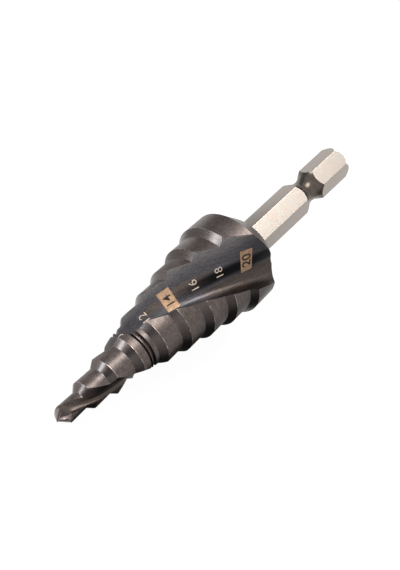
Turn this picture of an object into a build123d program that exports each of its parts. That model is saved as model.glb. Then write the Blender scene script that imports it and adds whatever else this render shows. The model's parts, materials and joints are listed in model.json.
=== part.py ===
"""Step drill, 4 to 20 mm in nine steps, with two spiral flutes and a hexagon shank.

The drill is turned and ground from one bar, so it is one solid.
It is drawn upright, with its tip on the origin and its shank up, and then laid down as it comes to rest.
All sizes are in millimetres and all angles in degrees.
"""
import os
from math import cos, log, radians, sin, tan

from build123d import *

# Steps, numbered from 0 at the tip
smallest_diameter = 4.0
largest_diameter = 20.0
diameter_rise = 2.0
pilot_length = 6.77
step_length = 5.56
step_chamfer_length = 1.4
last_land_length = 5.0
land_back_taper = 1.5
back_chamfer_length = 3.4
back_chamfer_angle = 45.0

# Point: the lips lie on a plain cone, and behind each lip the flank is ground to a tilted cone
point_angle = 135.0
flank_cone_angle = 109.0
flank_tilt = 15.0
flank_tilt_ahead = 30.0
chisel_web = 0.2

# Two ring grooves in the 10 mm land, a wide and a narrow one, with a thin ridge between them
grooved_diameter = 10.0
wide_groove = 0.82
narrow_groove = 0.5
groove_depth = 0.7
groove_ridge = 0.18
groove_ring = 0.93

# Flutes: the shares are parts of the cone's radius, and the angles lie in the cross-section
flute_count = 2
flute_start_angle = 175.0
flute_turn_angle = 161.0
flute_stretch = 13.75
flute_rake_angle = 13.0
rake_face_share = 0.19
root_share = 0.25
root_arc_angle = 93.5
crown_share = 4.2
crown_arc_angle = 9.4
heel_share = 0.3
heel_arc_angle = 56.0
overreach_share = 0.35

# Hexagon shank
hex_across_flats = 6.35
hex_edge_round = 0.15
hex_turn_angle = 31.8
shank_length = 30.8
neck_diameter = 4.95
neck_radius = 3.8
neck_from_end = 12.0
shank_end_chamfer = 1.6
shank_end_diameter = 5.6

# Pose at rest, on the edges of one flute
rest_roll_angle = 162.9
rest_tilt_angle = 4.7

# How far cutters run past what they cut, and joined forms into each other
run_past = 1.0

step_count = round((largest_diameter - smallest_diameter) / diameter_rise) + 1
point_length = smallest_diameter / 2 / tan(radians(point_angle / 2))
last_step_start = point_length + pilot_length + (step_count - 2) * step_length
cone_end = last_step_start + last_land_length
back_face = cone_end + back_chamfer_length
drill_length = back_face + shank_length
hex_corner_radius = hex_across_flats / 2 / cos(radians(30))


def step_radius(number):
    return (smallest_diameter + number * diameter_rise) / 2


def step_start(number):
    return last_step_start - (step_count - 1 - number) * step_length


def cone_radius(height):
    """Radius of the cone that the front corners of the steps lie on, carried on past the last step."""
    below_last = last_step_start - height
    return largest_diameter / 2 - below_last / step_length * diameter_rise / 2


def flute_angle(height):
    """Direction of the cutting edge, which turns ever more slowly as the cone widens."""
    return flute_start_angle + flute_turn_angle * log(1 + height / flute_stretch)


# What the wheel grinds off behind one lip, drawn for a lip along +X: a block outside a tilted cone
with BuildPart() as flank_waste:
    with Locations((0, chisel_web / 2, -run_past)):
        Box(
            2 * smallest_diameter,
            smallest_diameter,
            smallest_diameter + run_past,
            align=(Align.CENTER, Align.MIN, Align.MIN),
        )
    tilt_direction = Vector(sin(radians(flank_tilt)), 0, cos(radians(flank_tilt)))
    flank_axis = Plane(origin=(0, 0, 0), z_dir=tilt_direction.rotate(Axis.Z, -flank_tilt_ahead))
    cone_height = 3 * smallest_diameter
    with Locations(flank_axis):
        Cone(
            bottom_radius=0,
            top_radius=cone_height * tan(radians(flank_cone_angle / 2)),
            height=cone_height,
            align=(Align.CENTER, Align.CENTER, Align.MIN),
            mode=Mode.SUBTRACT,
        )

with BuildPart() as upright_drill:
    # Stepped cone, turned from the tip to the back face, with each land tapering a little to the back
    with BuildSketch(Plane.XZ):
        with BuildLine():
            outline = [(0, 0), (smallest_diameter / 2, point_length)]
            for number in range(1, step_count):
                start_radius, start_height = outline[-1]
                land_end = step_start(number) - step_chamfer_length
                taper = (land_end - start_height) * tan(radians(land_back_taper))
                outline.append((start_radius - taper, land_end))
                outline.append((step_radius(number), step_start(number)))
            last_taper = last_land_length * tan(radians(land_back_taper))
            back_drop = back_chamfer_length * tan(radians(back_chamfer_angle))
            outline.append((largest_diameter / 2 - last_taper, cone_end))
            outline.append((largest_diameter / 2 - last_taper - back_drop, back_face))
            outline.append((0, back_face))
            Polyline(*outline, close=True)
        make_face()
    revolve(axis=Axis.Z)

    # Two ring grooves with a thin ridge between them
    grooved_step = round((grooved_diameter - smallest_diameter) / diameter_rise)
    groove_top = step_start(grooved_step + 1) - step_chamfer_length - groove_ring
    with BuildSketch(Plane.XZ):
        with Locations((grooved_diameter / 2, groove_top - wide_groove / 2)):
            Rectangle(2 * groove_depth, wide_groove)
        with Locations((grooved_diameter / 2, groove_top - wide_groove - groove_ridge - narrow_groove / 2)):
            Rectangle(2 * groove_depth, narrow_groove)
    revolve(axis=Axis.Z, mode=Mode.SUBTRACT)

    # Flutes: one section, scaled with the cone and turned with the lead, lofted from the tip to the back
    stations = [step_start(number) for number in range(-1, step_count)]
    stations += [(last_step_start + back_face) / 2, back_face + run_past]
    for flute in range(flute_count):
        sections = []
        for height in stations:
            scale = cone_radius(height)
            reach = scale * (1 + overreach_share)
            turn = flute_angle(height) + flute * 360 / flute_count
            station = Plane.XY.offset(height).rotated((0, 0, turn))
            with BuildSketch(station, mode=Mode.PRIVATE) as section:
                with BuildLine():
                    edge = Vector(scale, 0)
                    inward = Vector(-cos(radians(flute_rake_angle)), sin(radians(flute_rake_angle)))
                    outside = edge - inward * scale * overreach_share
                    rake = Line(outside, edge + inward * scale * rake_face_share)
                    root = JernArc(rake @ 1, inward, scale * root_share, root_arc_angle)
                    face = JernArc(root @ 1, root % 1, scale * crown_share, -crown_arc_angle)
                    heel = JernArc(face @ 1, face % 1, scale * heel_share, -heel_arc_angle)
                    Polyline(heel @ 1, (reach, -reach), rake @ 0)
                make_face()
            sections.append(section.sketch)
        loft(sections=sections, mode=Mode.SUBTRACT)

    # Split point: each flank is ground from its own lip round to the wall under the other lip
    with PolarLocations(0, flute_count, start_angle=flute_angle(0)):
        add(flank_waste.part, mode=Mode.SUBTRACT)

    # Hexagon shank
    with BuildSketch(Plane.XY.offset(back_face - run_past).rotated((0, 0, hex_turn_angle))):
        hexagon = RegularPolygon(hex_across_flats / 2, 6, major_radius=False)
        fillet(hexagon.vertices(), hex_edge_round)
    extrude(amount=shank_length + run_past)

    # Ring neck that a quick-change chuck locks in, and the turned chamfer on the end
    with BuildSketch(Plane.XZ):
        with Locations((neck_diameter / 2 + neck_radius, drill_length - neck_from_end)):
            Circle(neck_radius)
        with BuildLine():
            Polyline(
                (shank_end_diameter / 2, drill_length),
                (hex_corner_radius, drill_length - shank_end_chamfer),
                (hex_corner_radius + run_past, drill_length - shank_end_chamfer),
                (hex_corner_radius + run_past, drill_length),
                close=True,
            )
        make_face()
    revolve(axis=Axis.Z, mode=Mode.SUBTRACT)

# Lay the drill down along X with one flute up, and set it on the floor over the origin
lying = Rotation(0, 90 - rest_tilt_angle, 0) * Rotation(0, 0, rest_roll_angle)
extent = (lying * upright_drill.part).bounding_box()
on_floor = Pos(-extent.center().X, -extent.center().Y, -extent.min.Z)
with BuildPart() as step_drill:
    with Locations(on_floor * lying):
        add(upright_drill.part)

os.makedirs("parts", exist_ok=True)
step_drill.part.label = "step_drill"
export_step(step_drill.part, "parts/step_drill.step")
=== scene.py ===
"""Step drill with its blackened and ground steel, its size numbers and a small studio.

The script is laid out as an add-on. Heights are measured along the drill from its tip, and all sizes are
given in metres, written as millimetres times MM.
"""
import json
from math import asin, cos, e, log, pi, radians, sin, tan

import bpy
from bpy.props import FloatProperty, FloatVectorProperty, PointerProperty
from mathutils import Euler, Matrix, Vector


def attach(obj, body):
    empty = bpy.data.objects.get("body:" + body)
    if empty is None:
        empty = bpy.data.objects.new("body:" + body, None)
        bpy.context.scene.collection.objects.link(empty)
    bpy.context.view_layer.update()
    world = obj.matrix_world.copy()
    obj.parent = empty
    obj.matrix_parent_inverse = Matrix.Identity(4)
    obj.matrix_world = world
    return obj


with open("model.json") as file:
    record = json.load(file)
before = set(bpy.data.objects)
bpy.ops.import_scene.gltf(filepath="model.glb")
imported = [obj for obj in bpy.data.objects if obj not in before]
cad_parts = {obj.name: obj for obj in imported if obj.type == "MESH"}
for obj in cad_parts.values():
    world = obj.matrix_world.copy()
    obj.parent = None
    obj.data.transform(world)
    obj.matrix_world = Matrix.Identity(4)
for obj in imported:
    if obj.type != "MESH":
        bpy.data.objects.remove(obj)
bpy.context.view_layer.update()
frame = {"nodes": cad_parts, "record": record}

bl_info = {
    "name": "Step drill",
    "version": (1, 0, 0),
    "blender": (4, 5, 0),
    "location": "3D View > Sidebar > Step drill",
    "description": "Dresses a lying step drill with its steel finish, its size numbers and a studio",
    "category": "Object",
}

MM = 0.001
DRILL = frame["nodes"]["step_drill"]
SHANK_END = next(m for m in frame["record"]["mounts"] if m["name"] == "shank_end")
SHANK_POINT = Vector(SHANK_END["pos_m"])
AXIS = Vector(SHANK_END["axis"]).normalized()
TIP_ALONG = min(v.co.dot(AXIS) for v in DRILL.data.vertices)
TIP = SHANK_POINT - AXIS * (SHANK_POINT.dot(AXIS) - TIP_ALONG)

# The lie of the drill: its own frame has the tip at the origin and the shank up
REST_TILT = asin(AXIS.z)
REST_ROLL = radians(162.9)
LAID_DOWN = Euler((0, pi / 2 - REST_TILT, 0))
ROLLED = Euler((0, 0, REST_ROLL))
DRILL_TO_WORLD = Matrix.Translation(TIP) @ (LAID_DOWN.to_matrix() @ ROLLED.to_matrix()).to_4x4()

# Steps and ring grooves
LARGEST_RADIUS = 10 * MM
RADIUS_RISE = 1 * MM
STEP_LENGTH = 5.56 * MM
CHAMFER_LENGTH = 1.4 * MM
FIRST_RISE = 7.6 * MM
LAST_STEP = 46.52 * MM
CONE_END = 51.52 * MM
BACK_FACE = 54.92 * MM
LAND_TAPER = tan(radians(1.5))
GROOVES_MIDDLE = 21.2 * MM
GROOVES_WIDTH = 1.5 * MM

# Law of the spiral flutes
FLUTE_START = radians(175)
FLUTE_TURN = radians(161)
FLUTE_STRETCH = 13.75 * MM

# Shank, with its ring neck and the turned chamfer on its end
NECK_HEIGHT = 73.72 * MM
NECK_CENTRE = 6.275 * MM
NECK_RADIUS = 3.8 * MM
DRILL_LENGTH = 85.7184 * MM
HEX_FLATS = 6.35 * MM
END_RADIUS = 2.8 * MM
END_CHAMFER = 1.6 * MM
END_SLOPE = (HEX_FLATS / 2 / cos(radians(30)) - END_RADIUS) / END_CHAMFER
END_ZONE = (80.0, 81.0)

# Half the width, in millimetres, over which one zone of the steel passes into the next
SOFT = 0.03


def cone_radius(height):
    return LARGEST_RADIUS - max(0, LAST_STEP - height) / STEP_LENGTH * RADIUS_RISE


def edge_angle(height):
    """Direction of the cutting edge, which turns ever more slowly as the cone widens."""
    return FLUTE_START + FLUTE_TURN * log(1 + height / FLUTE_STRETCH)


# ---------------------------------------------------------------------------------------------------------
# Settings


def colour(name, description, default):
    return FloatVectorProperty(name=name, description=description, default=default, subtype="COLOR", min=0, max=1)


def roughness(name, description, default):
    return FloatProperty(name=name, description=description, default=default, subtype="FACTOR", min=0, max=1)


class SteelFinish(bpy.types.PropertyGroup):
    land: colour("Lands", "Blackened steel on the steps", (0.130, 0.110, 0.106))
    flute: colour("Flutes", "Bluish steel in the ground flutes", (0.076, 0.072, 0.079))
    heel: colour("Heels", "Paler brushed steel along the rounded heels", (0.160, 0.147, 0.146))
    # Also colours the flute's brown patches, which are partly painted reflection and painted shade.
    brown: colour("Brown bloom", "Brown bloom of the blackening", (0.122, 0.098, 0.088))
    # Also a painted highlight on the sharp edges, which have no rounding to catch light.
    worn: colour("Worn edges", "Bare coppery steel where the edges are worn", (0.72, 0.56, 0.47))
    shank: colour("Shank", "Bright ground steel of the shank", (0.345, 0.333, 0.312))
    shank_lines: colour("Shank lines", "Grinding lines across the shank", (0.37, 0.30, 0.255))
    point: colour("Point", "Ground flanks of the point", (0.26, 0.21, 0.195))
    turned: colour("Turned chamfer", "Bright turned chamfer on the shank's end", (0.93, 0.93, 0.92))
    neck: colour("Neck", "Dark turned steel in the shank's neck", (0.105, 0.088, 0.074))
    edge_width: FloatProperty(
        name="Worn edge", description="Width of the worn line on an edge", default=0.13 * MM, unit="LENGTH"
    )
    land_roughness: roughness("Land roughness", "Roughness of the lands", 0.37)
    chamfer_roughness: roughness("Chamfer roughness", "Roughness of the chamfers", 0.29)
    flute_roughness: roughness("Flute roughness", "Roughness of the flutes", 0.34)
    shank_roughness: roughness("Shank roughness", "Roughness of the shank", 0.25)


class NumberMarks(bpy.types.PropertyGroup):
    pale: colour("Pale mark", "Light strokes of the plain numbers", (0.72, 0.58, 0.48))
    copper: colour("Copper field", "Field of the boxed numbers", (0.47, 0.30, 0.185))
    burnt: colour("Burnt mark", "Dark strokes of the boxed numbers", (0.022, 0.016, 0.014))
    digit_height: FloatProperty(
        name="Digit height", description="Height of a digit", default=1.8 * MM, unit="LENGTH"
    )
    behind_step: FloatProperty(
        name="Behind the step", description="From a step's front corner to its number", default=1.9 * MM, unit="LENGTH"
    )
    box_height: FloatProperty(
        name="Box height", description="Size of a box along the flute", default=2.75 * MM, unit="LENGTH"
    )
    box_width: FloatProperty(
        name="Box width", description="Size of a box across the flute", default=4.2 * MM, unit="LENGTH"
    )
    depth: FloatProperty(
        name="Mark thickness", description="Thickness of the marked layer", default=0.012 * MM, unit="LENGTH"
    )


class StudioSetting(bpy.types.PropertyGroup):
    floor: colour("Floor", "Colour of the pale floor", (0.25, 0.25, 0.25))
    top_light: colour("Top light", "Colour of the soft box above", (1.0, 0.985, 0.95))
    side_light: colour("Side light", "Colour of the low soft box", (0.83, 0.94, 1.0))
    top_strength: FloatProperty(name="Top strength", description="Radiance of the soft box above", default=8.3)
    side_strength: FloatProperty(name="Side strength", description="Radiance of the low soft box", default=11.5)
    camera_azimuth: FloatProperty(
        name="Camera azimuth", description="Side that the camera stands on", default=radians(158.149), subtype="ANGLE"
    )
    camera_elevation: FloatProperty(
        name="Camera elevation", description="How steeply it looks down", default=radians(51.700), subtype="ANGLE"
    )
    camera_roll: FloatProperty(
        name="Camera roll", description="Turn of the camera about its view", default=radians(72.578), subtype="ANGLE"
    )
    camera_distance: FloatProperty(
        name="Camera distance", description="From the camera to its target", default=326.544 * MM, unit="LENGTH"
    )


# ---------------------------------------------------------------------------------------------------------
# Modelling helpers


def start_clean():
    if bpy.context.object and bpy.context.object.mode != "OBJECT":
        bpy.ops.object.mode_set(mode="OBJECT")
    bpy.ops.object.select_all(action="DESELECT")


def pick(piece):
    start_clean()
    piece.select_set(True)
    bpy.context.view_layer.objects.active = piece


def place_in_mesh(piece):
    pick(piece)
    bpy.ops.object.transform_apply(location=True, rotation=True, scale=True)


# ---------------------------------------------------------------------------------------------------------
# Shader helpers


class Shader:
    """A material's node tree, with short calls for the nodes that the finishes share."""

    def __init__(self, name):
        self.material = bpy.data.materials.new(name)
        self.material.use_nodes = True
        self.tree = self.material.node_tree
        self.surface = self.tree.nodes["Principled BSDF"]

    def node(self, kind, **settings):
        node = self.tree.nodes.new(kind)
        for name, value in settings.items():
            setattr(node, name, value)
        return node

    def put(self, socket, value):
        if isinstance(value, bpy.types.NodeSocket):
            self.tree.links.new(value, socket)
        elif value is not None:
            socket.default_value = value

    def math(self, operation, a, b=None, c=None):
        node = self.node("ShaderNodeMath", operation=operation)
        for socket, value in zip(node.inputs, (a, b, c)):
            self.put(socket, value)
        return node.outputs[0]

    def times(self, first, *others):
        for other in others:
            first = self.math("MULTIPLY", first, other)
        return first

    def minus(self, a, b):
        return self.math("SUBTRACT", a, b)

    def outside(self, mask):
        return self.math("SUBTRACT", 1.0, mask)

    def vector(self, x, y, z):
        node = self.node("ShaderNodeCombineXYZ")
        for socket, value in zip(node.inputs, (x, y, z)):
            self.put(socket, value)
        return node.outputs[0]

    def ramp(self, value, low, high):
        """0 at low, 1 at high, and smooth between them."""
        node = self.node("ShaderNodeMapRange", interpolation_type="SMOOTHSTEP")
        self.put(node.inputs["Value"], value)
        self.put(node.inputs["From Min"], low)
        self.put(node.inputs["From Max"], high)
        return node.outputs["Result"]

    def span(self, value, low, high):
        """Maps the middle of a noise from 0.3..0.7 to low..high."""
        node = self.node("ShaderNodeMapRange")
        self.put(node.inputs["Value"], value)
        node.inputs["From Min"].default_value = 0.3
        node.inputs["From Max"].default_value = 0.7
        node.inputs["To Min"].default_value = low
        node.inputs["To Max"].default_value = high
        return node.outputs["Result"]

    def noise(self, vector, scale, detail=2.0, roughness=0.55):
        node = self.node("ShaderNodeTexNoise")
        self.put(node.inputs["Vector"], vector)
        node.inputs["Scale"].default_value = scale
        node.inputs["Detail"].default_value = detail
        node.inputs["Roughness"].default_value = roughness
        return node.outputs["Fac"]

    def mix(self, share, first, second):
        node = self.node("ShaderNodeMix", data_type="RGBA")
        self.put(node.inputs["Factor"], share)
        self.put(node.inputs["A"], first)
        self.put(node.inputs["B"], second)
        return node.outputs["Result"]

    def blend(self, share, first, second):
        node = self.node("ShaderNodeMix", data_type="FLOAT")
        self.put(node.inputs["Factor"], share)
        self.put(node.inputs["A"], first)
        self.put(node.inputs["B"], second)
        return node.outputs["Result"]

    def patch(self, past_edge, across, height, along):
        """1 on a patch of a flute and 0 round it.

        Each way it has four limits, for where it starts, is full, is last full and ends: across the flute in
        degrees past the cutting edge, and along it in millimetres from the tip.
        """
        share = 1.0
        for value, (start, full, last, end), unit in ((past_edge, across, radians(1)), (height, along, 1)):
            rising = self.ramp(value, start * unit, full * unit)
            falling = self.ramp(value, end * unit, last * unit)
            share = self.times(share, rising, falling)
        return share

    def tint(self, base, strength):
        """A colour times a number."""
        node = self.node("ShaderNodeVectorMath", operation="SCALE")
        self.put(node.inputs["Vector"], base)
        self.put(node.inputs["Scale"], strength)
        return node.outputs["Vector"]


def opaque(colour, strength=1.0):
    return tuple(strength * c for c in colour) + (1,)


def drill_places(s):
    """Places on the drill, in millimetres: x, y, height from the tip, radius, and angle past the cutting edge."""
    mapping = s.node("ShaderNodeMapping", vector_type="TEXTURE")
    mapping.inputs["Location"].default_value = TIP
    mapping.inputs["Rotation"].default_value = LAID_DOWN
    mapping.inputs["Scale"].default_value = (MM, MM, MM)
    s.put(mapping.inputs["Vector"], s.node("ShaderNodeTexCoord").outputs["Object"])
    split = s.node("ShaderNodeSeparateXYZ")
    s.put(split.inputs[0], mapping.outputs[0])
    x, y, height = split.outputs
    radius = s.math("SQRT", s.math("ADD", s.times(x, x), s.times(y, y)))
    angle = s.minus(s.math("ARCTAN2", y, x), REST_ROLL)
    spiral = s.math("LOGARITHM", s.math("MULTIPLY_ADD", height, MM / FLUTE_STRETCH, 1.0), e)
    edge = s.math("MULTIPLY_ADD", spiral, FLUTE_TURN, FLUTE_START)
    past_edge = s.math("WRAP", s.minus(angle, edge), pi, 0.0)
    return mapping.outputs[0], x, y, height, radius, past_edge


class Zones:
    """Where a point of the steel lies, and masks from 0 to 1 for the parts of the drill; in millimetres."""

    def __init__(self, s):
        self.place, self.x, self.y, self.height, self.radius, self.past_edge = drill_places(s)
        height = self.height

        # Which step this is, numbered from -1 on the pilot, and how far behind its front corner
        pitch = STEP_LENGTH / MM
        first = FIRST_RISE / MM
        last_number = round((LAST_STEP - FIRST_RISE) / STEP_LENGTH)
        number = s.math("FLOOR", s.math("DIVIDE", s.minus(height, first), pitch))
        self.number = s.math("MINIMUM", s.math("MAXIMUM", number, -1.0), float(last_number))
        self.behind = s.minus(height, s.math("MULTIPLY_ADD", self.number, pitch, first))
        before_last = s.math("LESS_THAN", height, LAST_STEP / MM)

        # How far below the turned body's own surface this is
        chamfer_length = CHAMFER_LENGTH / MM
        land_length = pitch - chamfer_length
        chamfer_slope = (RADIUS_RISE / MM + LAND_TAPER * pitch) / chamfer_length
        step_radius = s.math("ADD", self.number, LARGEST_RADIUS / MM - last_number)
        land_radius = s.math("MULTIPLY_ADD", s.math("MAXIMUM", self.behind, 0.0), -LAND_TAPER, step_radius)
        past_land = s.times(s.math("MAXIMUM", s.minus(self.behind, land_length), 0.0), before_last)
        past_cone = s.math("MAXIMUM", s.minus(height, CONE_END / MM), 0.0)
        body_radius = s.minus(s.math("MULTIPLY_ADD", past_land, chamfer_slope, land_radius), past_cone)
        self.below_body = s.minus(body_radius, self.radius)

        # Chamfers, back and shank
        self.on_chamfer = s.times(s.ramp(self.behind, land_length - SOFT, land_length + SOFT), before_last)
        self.on_back = s.ramp(height, CONE_END / MM - SOFT, CONE_END / MM + SOFT)
        self.on_shank = s.ramp(height, BACK_FACE / MM + 0.01, BACK_FACE / MM + 0.05)
        self.not_shank = s.outside(self.on_shank)

        # The ring grooves are as deep as the flutes but keep the lands' finish, up to the flute's heel
        beside_grooves = s.math("ABSOLUTE", s.minus(height, GROOVES_MIDDLE / MM))
        half_width = GROOVES_WIDTH / MM / 2
        in_rings = s.ramp(beside_grooves, half_width + 0.02, half_width - 0.02)
        past_heel = s.ramp(self.past_edge, radians(101), radians(103))
        in_grooves = s.times(in_rings, s.outside(past_heel))
        in_cut = s.ramp(self.below_body, SOFT, 2 * SOFT)
        self.in_flute = s.times(in_cut, self.not_shank, s.outside(in_grooves))

        # The point's ground flanks
        before_flute = s.outside(s.ramp(self.past_edge, radians(103), radians(106)))
        self.on_point = s.times(s.ramp(height, 2.1, 1.5), before_flute)

        # The shank's ring neck and the turned chamfer on its end
        outward = s.minus(self.radius, NECK_CENTRE / MM)
        upward = s.minus(height, NECK_HEIGHT / MM)
        from_ring = s.math("SQRT", s.math("ADD", s.math("POWER", outward, 2.0), s.math("POWER", upward, 2.0)))
        self.in_neck = s.ramp(from_ring, NECK_RADIUS / MM + 2 * SOFT, NECK_RADIUS / MM + SOFT)
        cone_start = END_RADIUS / MM + END_SLOPE * DRILL_LENGTH / MM
        from_cone = s.minus(self.radius, s.minus(cone_start, s.times(height, END_SLOPE)))
        on_cone = s.ramp(s.math("ABSOLUTE", from_cone), 2 * SOFT, SOFT)
        self.on_end = s.times(on_cone, s.ramp(height, *END_ZONE))


class FineLines:
    """Noises of the finish: lines round the lands, along the flutes and across the shank, and three grains."""

    # How often the lines change, per millimetre, along the drill and the other way
    RING = (5.0, 1.2)
    FLUTE = (0.12, 26.0)
    SHANK = (4.0, 0.25)

    def __init__(self, s, zones):
        height = zones.height
        along, around = self.RING
        self.ring = s.noise(s.vector(s.times(height, along), zones.radius, s.times(zones.past_edge, around)), 1.0, 3)

        # The flute's section grows with the steps, so its lines are set out on shares of the radius
        along, across = self.FLUTE
        share = s.math("DIVIDE", zones.radius, s.math("MAXIMUM", s.math("ADD", zones.number, 3.5), 1.5))
        across_u = s.times(share, s.math("COSINE", zones.past_edge), across)
        across_w = s.times(share, s.math("SINE", zones.past_edge), across)
        self.flute = s.noise(s.vector(across_u, across_w, s.times(height, along)), 1.6, 3, 0.6)

        along, across = self.SHANK
        spread = s.vector(s.times(zones.x, across), s.times(zones.y, across), s.times(height, along))
        self.shank = s.noise(spread, 1.3, 3, 0.6)
        self.bloom = s.noise(zones.place, 0.35, 3)
        self.grain = s.noise(zones.place, 4.5, 2, 0.75)
        self.mottle = s.noise(zones.place, 1.1, 3, 0.6)


def flute_colour(s, zones, lines, finish):
    """Bluish in the flute's run, paler on the heel, brown near the tip and in patches that are partly painted
    reflection and shade, and painted shade in the root.
    """
    height = zones.height
    heel = s.ramp(zones.past_edge, radians(125), radians(104))
    flute = s.mix(heel, opaque(finish.flute), opaque(finish.heel))
    # Brown towards the tip, partly the blackening's own colour and partly painted reflection.
    flute = s.mix(s.ramp(height, 23.0, 15.0), flute, opaque(finish.brown, 0.62))

    # The rake face lies just past the other flute's edge, so the angle runs on through it
    angle = s.math("WRAP", zones.past_edge, radians(200), radians(20))
    # A brown bloom in the middle heights, partly the blackening's own colour and partly painted reflection.
    bloom_and_painted_reflection = s.patch(angle, (124, 131, 144, 152), height, (24, 29, 36, 44))
    flute = s.mix(bloom_and_painted_reflection, flute, opaque(finish.brown, 0.80))
    # Darker brown on the rake face towards the back, partly burn and partly painted shade.
    burnt_rake_and_painted_shade = s.patch(angle, (158, 168, 200, 201), height, (35, 41, 70, 71))
    flute = s.mix(burnt_rake_and_painted_shade, flute, opaque(finish.brown, 0.52))
    # Painted shade along the flute's root: a dark reflection that darkens it by up to nine tenths.
    painted_root_shade = s.patch(angle, (132, 142, 152, 164), height, (28, 42, 70, 71))
    flute = s.tint(flute, s.math("MULTIPLY_ADD", painted_root_shade, -0.9, 1.0))
    flute = s.tint(flute, s.span(lines.flute, 0.76, 1.26))
    return s.tint(flute, s.span(lines.grain, 0.66, 1.38))


def worn_share(s, zones, finish):
    """Worn lines along the front corners of the steps and, fainter, along the cutting edges: bare steel, and also a
    painted highlight on edges too sharp to catch light.
    """
    outer = finish.edge_width / MM / 2 * 1.3
    inner = finish.edge_width / MM / 2 * 0.7
    at_front = s.ramp(s.math("ABSOLUTE", zones.behind), outer, inner)
    nearest_edge = s.math("MINIMUM", zones.past_edge, s.minus(pi, zones.past_edge))
    from_edge = s.times(nearest_edge, zones.radius)
    at_cutting = s.times(s.ramp(from_edge, outer, inner), s.ramp(zones.below_body, 0.25, 0.1))
    worn = s.math("MAXIMUM", at_front, s.times(at_cutting, 0.5))
    return s.times(worn, s.outside(zones.in_flute), s.ramp(s.noise(zones.place, 0.9, 3), 0.40, 0.60))


def cone_colour(s, zones, lines, finish):
    """Blackened lands, chamfers and back, worn edges that are also a painted highlight, flutes with painted shade and
    reflection, and the ground point.
    """
    land = s.mix(s.ramp(lines.bloom, 0.25, 0.75), opaque(finish.land), opaque(finish.brown))
    land = s.tint(land, s.span(lines.ring, 0.86, 1.14))
    land = s.tint(land, s.span(lines.grain, 0.62, 1.38))
    land = s.tint(land, s.span(lines.mottle, 0.80, 1.16))
    chamfer = s.tint(finish.land, s.span(lines.ring, 0.90, 1.12))
    chamfer = s.tint(chamfer, s.span(lines.grain, 0.76, 1.24))
    cone = s.mix(zones.on_chamfer, land, chamfer)
    cone = s.mix(zones.on_back, cone, s.tint(finish.brown, s.span(lines.grain, 0.8, 1.2)))
    # Worn bare steel on the edges, which is also a painted highlight.
    cone = s.mix(worn_share(s, zones, finish), cone, opaque(finish.worn))
    cone = s.mix(zones.in_flute, cone, flute_colour(s, zones, lines, finish))
    return s.mix(zones.on_point, cone, s.tint(finish.point, s.span(lines.grain, 0.85, 1.15)))


def shank_colour(s, zones, lines, finish):
    """Bright ground faces with cross lines, a darker turned neck and a bright turned end."""
    shank = s.mix(s.ramp(lines.shank, 0.35, 0.65), opaque(finish.shank), opaque(finish.shank_lines))
    shank = s.tint(shank, s.span(lines.grain, 0.98, 1.02))
    shank = s.mix(zones.in_neck, shank, s.tint(finish.neck, s.span(lines.ring, 0.80, 1.20)))
    return s.mix(zones.on_end, shank, opaque(finish.turned))


def steel_material(finish):
    """Blackened steps, ground flutes and a bright shank, told apart by their place on the drill."""
    s = Shader("drill_steel")
    zones = Zones(s)
    lines = FineLines(s, zones)
    colours = (cone_colour(s, zones, lines, finish), shank_colour(s, zones, lines, finish))
    s.put(s.surface.inputs["Base Color"], s.mix(zones.on_shank, *colours))
    s.surface.inputs["Metallic"].default_value = 1.0

    rough = s.blend(zones.on_chamfer, finish.land_roughness, finish.chamfer_roughness)
    rough = s.blend(zones.in_flute, rough, finish.flute_roughness)
    rough = s.blend(zones.on_shank, rough, finish.shank_roughness)
    uneven = s.span(lines.grain, -0.04, 0.04)
    s.put(s.surface.inputs["Roughness"], s.math("MULTIPLY_ADD", uneven, zones.not_shank, rough))

    # Relief of the fine lines, shallower on the shank
    relief = s.blend(zones.in_flute, lines.ring, lines.flute)
    relief = s.blend(zones.on_shank, relief, s.times(lines.shank, 0.25))
    bump = s.node("ShaderNodeBump")
    bump.inputs["Strength"].default_value = 0.5
    bump.inputs["Distance"].default_value = 0.012 * MM
    s.put(bump.inputs["Height"], relief)
    s.put(s.surface.inputs["Normal"], bump.outputs["Normal"])
    return s.material


def mark_material(name, base, metallic, roughness):
    """Laser-marked layer: an even colour broken by a fine grain."""
    s = Shader(name)
    place = drill_places(s)[0]
    grain = s.noise(place, 9.0, 2, 0.7)
    cloud = s.noise(place, 1.6, 2)
    tone = s.tint(base, s.math("MULTIPLY", s.span(grain, 0.82, 1.16), s.span(cloud, 0.72, 1.16)))
    s.put(s.surface.inputs["Base Color"], tone)
    s.put(s.surface.inputs["Roughness"], s.span(grain, roughness - 0.05, roughness + 0.05))
    s.surface.inputs["Metallic"].default_value = metallic
    return s.material


# ---------------------------------------------------------------------------------------------------------
# Pieces

# Where the marks stand in the flute's cross-section, as shares of the cone's radius along and across the
# direction of the cutting edge, and the run of the face there, from the cutting edge's side to the heel's
MARK_PLACE = Vector((0.47, -0.38))
FACE_RUN = Vector((-0.256, -0.967))

# A mark is dropped onto the face from this far above it, and then lies this far off the steel
MARK_DROP = 1.5 * MM
MARK_GAP = 0.004 * MM

# Height of a digit as a share of its font size, and how much bolder or thinner the plain strokes are
FONT_SHARE = 0.73
PLAIN_WEIGHT = -0.012 * MM

# Boxed numbers: shares of the box's width and of the digit's height, and how much bolder the strokes are
BOXED = {
    8: (0.55, 1.0, 0.012 * MM),
    14: (1.0, 1.0, 0.012 * MM),
    20: (1.08, 1.15, 0.05 * MM),
}


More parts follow.
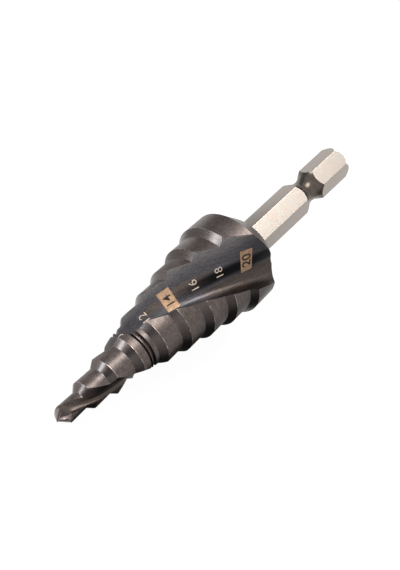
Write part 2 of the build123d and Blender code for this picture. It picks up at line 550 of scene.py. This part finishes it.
def mark_matrix(height):
    """Frame on the flute's face: x across it to the heel, y along it to the tip, z out of the steel."""
    turn = edge_angle(height)
    scale = cone_radius(height)
    spin = Matrix.Rotation(turn, 2)
    spot = spin @ MARK_PLACE * scale
    run = spin @ FACE_RUN
    turning = FLUTE_TURN / (FLUTE_STRETCH + height)
    widening = RADIUS_RISE / STEP_LENGTH if height < LAST_STEP else 0.0
    sideways = Vector((-spot.y, spot.x)) * turning + spot / scale * widening
    along = Vector((sideways.x, sideways.y, 1)).normalized()
    out = Vector((run.x, run.y, 0)).cross(-along).normalized()
    across = (-along).cross(out)
    frame_here = Matrix((across, -along, out)).transposed().to_4x4()
    frame_here.translation = Vector((spot.x, spot.y, height))
    return DRILL_TO_WORLD @ frame_here


def lay_on_face(piece, matrix, lift, thickness, material):
    """Projects a flat, subdivided shape onto the steel, gives it its thin layer and puts its place in its mesh."""
    piece.matrix_world = matrix @ Matrix.Translation((0, 0, MARK_DROP))
    pick(piece)
    wrap = piece.modifiers.new("wrap", "SHRINKWRAP")
    wrap.target = DRILL
    wrap.wrap_method = "PROJECT"
    wrap.use_project_z = True
    wrap.use_negative_direction = True
    wrap.use_positive_direction = False
    wrap.offset = lift + thickness
    bpy.ops.object.modifier_apply(modifier=wrap.name)
    layer = piece.modifiers.new("layer", "SOLIDIFY")
    layer.thickness = thickness
    layer.offset = -1
    bpy.ops.object.modifier_apply(modifier=layer.name)
    place_in_mesh(piece)
    piece.data.materials.clear()
    piece.data.materials.append(material)
    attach(piece, "root")


def number_height(marks, diameter):
    """Behind the front corner of its step, or in the middle of the last one."""
    radius = diameter * MM / 2
    start = LAST_STEP - (LARGEST_RADIUS - radius) / RADIUS_RISE * STEP_LENGTH
    if radius > LARGEST_RADIUS - RADIUS_RISE / 2:
        return start + (CONE_END - LAST_STEP) / 2
    return start + marks.behind_step


def digits(diameter, marks, lift, size, weight, material):
    """The digits of one step's size, laid on the flute's face."""
    start_clean()
    bpy.ops.object.text_add()
    piece = bpy.context.object
    piece.name = f"number_{diameter}"
    piece.data.body = str(diameter)
    piece.data.align_x = "CENTER"
    piece.data.size = size / FONT_SHARE
    piece.data.offset = weight
    piece.data.resolution_u = 6
    bpy.ops.object.convert(target="MESH")
    piece = bpy.context.object
    middle = sum((Vector(c) for c in piece.bound_box), Vector()) / 8
    piece.data.transform(Matrix.Translation(-middle))
    bpy.ops.object.mode_set(mode="EDIT")
    bpy.ops.mesh.select_all(action="SELECT")
    bpy.ops.mesh.remove_doubles(threshold=1e-6)
    bpy.ops.mesh.quads_convert_to_tris()
    bpy.ops.mesh.subdivide(number_cuts=3)
    bpy.ops.object.mode_set(mode="OBJECT")
    lay_on_face(piece, mark_matrix(number_height(marks, diameter)), lift, marks.depth, material)


def box_field(diameter, marks, width, material):
    """The coppery field that a boxed number stands on."""
    start_clean()
    bpy.ops.mesh.primitive_grid_add(x_subdivisions=24, y_subdivisions=16, size=1)
    field = bpy.context.object
    field.name = f"box_{diameter}"
    field.data.transform(Matrix.Diagonal((width, marks.box_height, 1, 1)))
    lay_on_face(field, mark_matrix(number_height(marks, diameter)), MARK_GAP, marks.depth, material)


class STEPDRILL_OT_steel(bpy.types.Operator):
    """Give the drill its blackened, ground and worn steel"""

    bl_idname = "stepdrill.steel"
    bl_label = "Steel finish"

    def execute(self, context):
        material = steel_material(context.scene.steel_finish)
        DRILL.data.materials.clear()
        DRILL.data.materials.append(material)
        return {"FINISHED"}


class STEPDRILL_OT_plain_numbers(bpy.types.Operator):
    """Mark the plain size numbers on one flute's face"""

    bl_idname = "stepdrill.plain_numbers"
    bl_label = "Plain numbers"

    def execute(self, context):
        marks = context.scene.number_marks
        pale = mark_material("pale_mark", marks.pale[:], 0.6, 0.5)
        for diameter in (6, 10, 12, 16, 18):
            digits(diameter, marks, MARK_GAP, marks.digit_height, PLAIN_WEIGHT, pale)
        return {"FINISHED"}


class STEPDRILL_OT_boxed_numbers(bpy.types.Operator):
    """Mark the boxed size numbers on the same face"""

    bl_idname = "stepdrill.boxed_numbers"
    bl_label = "Boxed numbers"

    def execute(self, context):
        marks = context.scene.number_marks
        copper = mark_material("copper_field", marks.copper[:], 0.7, 0.5)
        burnt = mark_material("burnt_mark", marks.burnt[:], 0.3, 0.6)
        for diameter, (width, size, weight) in BOXED.items():
            box_field(diameter, marks, marks.box_width * width, copper)
            digits(diameter, marks, MARK_GAP + marks.depth, size * marks.digit_height, weight, burnt)
        return {"FINISHED"}


# ---------------------------------------------------------------------------------------------------------
# Studio

# The camera looks at this point of the drill
TARGET = Vector((-1.749, 0.417, 8.323)) * MM
LENS = 107.66
SENSOR = 36.0

# Glow of the floor where it is seen or mirrored, and of the world for seen and for scattered light
FLOOR_GLOW = 0.90
WORLD_SEEN = 1.0
WORLD_SCATTERED = 0.45

# Cards: how far their feet lie above the floor, and how many facets go round each
CARD_LIFT = 0.2 * MM
CARD_FACETS = 24


def direction(azimuth, elevation):
    """Points from the target to something at this azimuth and elevation."""
    return Vector((cos(elevation) * cos(azimuth), cos(elevation) * sin(azimuth), sin(elevation)))


def soft_box(name, azimuth, elevation, distance, width, height, radiance, tint):
    """An even rectangle of light that faces the target; angles are in degrees."""
    lamp = bpy.data.lights.new(name, "AREA")
    lamp.shape = "RECTANGLE"
    lamp.size = width
    lamp.size_y = height
    lamp.energy = radiance * pi * width * height
    lamp.color = tint
    box = bpy.data.objects.new(name, lamp)
    bpy.context.scene.collection.objects.link(box)
    towards = direction(radians(azimuth), radians(elevation))
    box.location = TARGET + towards * distance
    box.rotation_euler = towards.to_track_quat("Z", "Y").to_euler()
    box.visible_camera = False


def seen_or_mirrored(nodes, links):
    """1 for camera, glossy and transmission rays, so that steel mirrors the same background that is seen."""
    path = nodes.new("ShaderNodeLightPath")
    share = path.outputs["Is Camera Ray"]
    for other in ("Is Glossy Ray", "Is Transmission Ray"):
        either = nodes.new("ShaderNodeMath")
        either.operation = "MAXIMUM"
        links.new(share, either.inputs[0])
        links.new(path.outputs[other], either.inputs[1])
        share = either.outputs[0]
    return share


def floor_material(tint):
    s = Shader("pale_floor")
    nodes = s.tree.nodes
    s.put(s.surface.inputs["Base Color"], tint[:] + (1,))
    s.surface.inputs["Roughness"].default_value = 0.9
    s.surface.inputs["Specular IOR Level"].default_value = 0.0
    lift = s.node("ShaderNodeEmission")
    s.put(lift.inputs["Strength"], s.math("MULTIPLY", seen_or_mirrored(nodes, s.tree.links), FLOOR_GLOW))
    both = s.node("ShaderNodeAddShader")
    s.put(both.inputs[0], s.surface.outputs[0])
    s.put(both.inputs[1], lift.outputs[0])
    s.put(nodes["Material Output"].inputs["Surface"], both.outputs[0])
    return s.material


def white_world():
    world = bpy.data.worlds.new("studio_world")
    bpy.context.scene.world = world
    world.use_nodes = True
    nodes = world.node_tree.nodes
    links = world.node_tree.links
    background = nodes["Background"]
    background.inputs["Color"].default_value = (1, 1, 1, 1)
    seen = seen_or_mirrored(nodes, links)
    level = nodes.new("ShaderNodeMapRange")
    links.new(seen, level.inputs["Value"])
    level.inputs["To Min"].default_value = WORLD_SCATTERED
    level.inputs["To Max"].default_value = WORLD_SEEN
    links.new(level.outputs["Result"], background.inputs["Strength"])


def card_mesh(card, azimuths, heights, radius, foot):
    """A strip of a cylinder round the target, with a flat foot from its own radius out to the card."""
    profile = [(radius, max(heights[0], 2 * CARD_LIFT)), (radius, heights[1])]
    if foot is not None:
        profile.insert(0, (foot, CARD_LIFT))
    rows = len(profile)
    points = []
    for k in range(CARD_FACETS + 1):
        azimuth = radians(azimuths[0] + (azimuths[1] - azimuths[0]) * k / CARD_FACETS)
        points += [(TARGET.x + ring * cos(azimuth), ring * sin(azimuth), rise) for ring, rise in profile]
    corners = [rows * k + j for k in range(CARD_FACETS) for j in range(rows - 1)]
    card.data.clear_geometry()
    card.data.from_pydata(points, [], [(a, a + 1, a + rows + 1, a + rows) for a in corners])


def card_material(name, heights, levels):
    """Glow that runs from the card's lower edge to its upper edge, and an even glow on its foot."""
    s = Shader(name)
    s.surface.inputs["Base Color"].default_value = (0, 0, 0, 1)
    s.surface.inputs["Specular IOR Level"].default_value = 0.0
    s.surface.inputs["Emission Color"].default_value = (1, 1, 1, 1)
    on_foot, lower, upper = levels
    split = s.node("ShaderNodeSeparateXYZ")
    s.put(split.inputs[0], s.node("ShaderNodeTexCoord").outputs["Object"])
    glow = s.node("ShaderNodeMapRange")
    s.put(glow.inputs["Value"], split.outputs["Z"])
    glow.inputs["From Min"].default_value, glow.inputs["From Max"].default_value = heights
    glow.inputs["To Min"].default_value = lower
    glow.inputs["To Max"].default_value = upper
    foot = s.math("LESS_THAN", split.outputs["Z"], 2 * CARD_LIFT)
    s.put(s.surface.inputs["Emission Strength"], s.blend(foot, glow.outputs["Result"], on_foot))
    return s.material


def grey_card(name, azimuths, heights, levels, radius=0.22, foot=None):
    """A curved card that only mirrors see; levels are the glow of its foot, lower edge and upper edge."""
    start_clean()
    bpy.ops.mesh.primitive_plane_add(size=1)
    card = bpy.context.object
    card.name = name
    card_mesh(card, azimuths, heights, radius, foot)
    card.data.materials.append(card_material(name, heights, levels))
    card.visible_camera = False
    card.visible_diffuse = False
    card.visible_shadow = False
    card.visible_transmission = False


def stand_camera(studio):
    """Puts up the camera, turned about its own view, and makes it the scene's."""
    data = bpy.data.cameras.new("camera")
    data.lens = LENS
    data.sensor_width = SENSOR
    data.clip_start = 0.01
    camera = bpy.data.objects.new("camera", data)
    bpy.context.scene.collection.objects.link(camera)
    towards = direction(studio.camera_azimuth, studio.camera_elevation)
    camera.location = TARGET + towards * studio.camera_distance
    level = towards.to_track_quat("Z", "Y").to_matrix()
    camera.rotation_euler = (level @ Matrix.Rotation(studio.camera_roll, 3, "Z")).to_euler()
    bpy.context.scene.camera = camera


class STEPDRILL_OT_studio(bpy.types.Operator):
    """Set up the pale floor, the soft boxes, the grey cards and the camera"""

    bl_idname = "stepdrill.studio"
    bl_label = "Studio"

    def execute(self, context):
        studio = context.scene.studio_setting
        start_clean()
        bpy.ops.mesh.primitive_plane_add(size=6)
        floor = bpy.context.object
        floor.name = "floor"
        floor.data.materials.append(floor_material(studio.floor))
        white_world()
        soft_box("top_box", 46, 48, 0.55, 0.25, 0.20, studio.top_strength, studio.top_light)
        soft_box("side_box", 130, 3, 0.50, 0.17, 0.15, studio.side_strength, studio.side_light)
        # The cards' feet take the floor's place in the steel's mirrors near the drill, as painted floor shade, darkest
        # on the side where the drill's shadow falls.
        grey_card("front_card", (150, 190), (0.0, 0.16), (0.0, 0.18, 0.62))
        grey_card("dim_card", (190, 288), (0.0, 0.16), (0.03, 0.18, 0.62), foot=0.003)
        grey_card("lower_card", (288, 312), (0.0, 0.12), (0.45, 0.65, 0.95), foot=0.012)
        grey_card("camera_card", (156, 181), (0.07, 0.16), (0.05, 0.05, 0.05), radius=0.20)
        grey_card("low_card", (25, 66), (0.0, 0.05), (0.46, 0.26, 0.50), foot=0.030)
        grey_card("near_card", (66, 115), (0.0, 0.01), (0.62, 0.8, 0.9), foot=0.006)
        stand_camera(studio)
        context.scene.view_settings.view_transform = "Standard"
        return {"FINISHED"}


class STEPDRILL_PT_panel(bpy.types.Panel):
    """Buttons and settings of the step drill"""

    bl_label = "Step drill"
    bl_idname = "STEPDRILL_PT_panel"
    bl_space_type = "VIEW_3D"
    bl_region_type = "UI"
    bl_category = "Step drill"

    def draw(self, context):
        for settings, operators in (
            (context.scene.steel_finish, (STEPDRILL_OT_steel,)),
            (context.scene.number_marks, (STEPDRILL_OT_plain_numbers, STEPDRILL_OT_boxed_numbers)),
            (context.scene.studio_setting, (STEPDRILL_OT_studio,)),
        ):
            box = self.layout.box()
            for name in settings.__annotations__:
                box.prop(settings, name)
            for operator in operators:
                box.operator(operator.bl_idname)


SETTINGS = (SteelFinish, NumberMarks, StudioSetting)
OPERATORS = (STEPDRILL_OT_steel, STEPDRILL_OT_plain_numbers, STEPDRILL_OT_boxed_numbers, STEPDRILL_OT_studio)


def register():
    for item in SETTINGS + OPERATORS + (STEPDRILL_PT_panel,):
        bpy.utils.register_class(item)
    bpy.types.Scene.steel_finish = PointerProperty(type=SteelFinish)
    bpy.types.Scene.number_marks = PointerProperty(type=NumberMarks)
    bpy.types.Scene.studio_setting = PointerProperty(type=StudioSetting)


def unregister():
    del bpy.types.Scene.studio_setting
    del bpy.types.Scene.number_marks
    del bpy.types.Scene.steel_finish
    for item in reversed(SETTINGS + OPERATORS + (STEPDRILL_PT_panel,)):
        bpy.utils.unregister_class(item)


def main():
    register()
    bpy.ops.stepdrill.steel()
    bpy.ops.stepdrill.plain_numbers()
    bpy.ops.stepdrill.boxed_numbers()
    bpy.ops.stepdrill.studio()


if __name__ == "__main__":
    main()
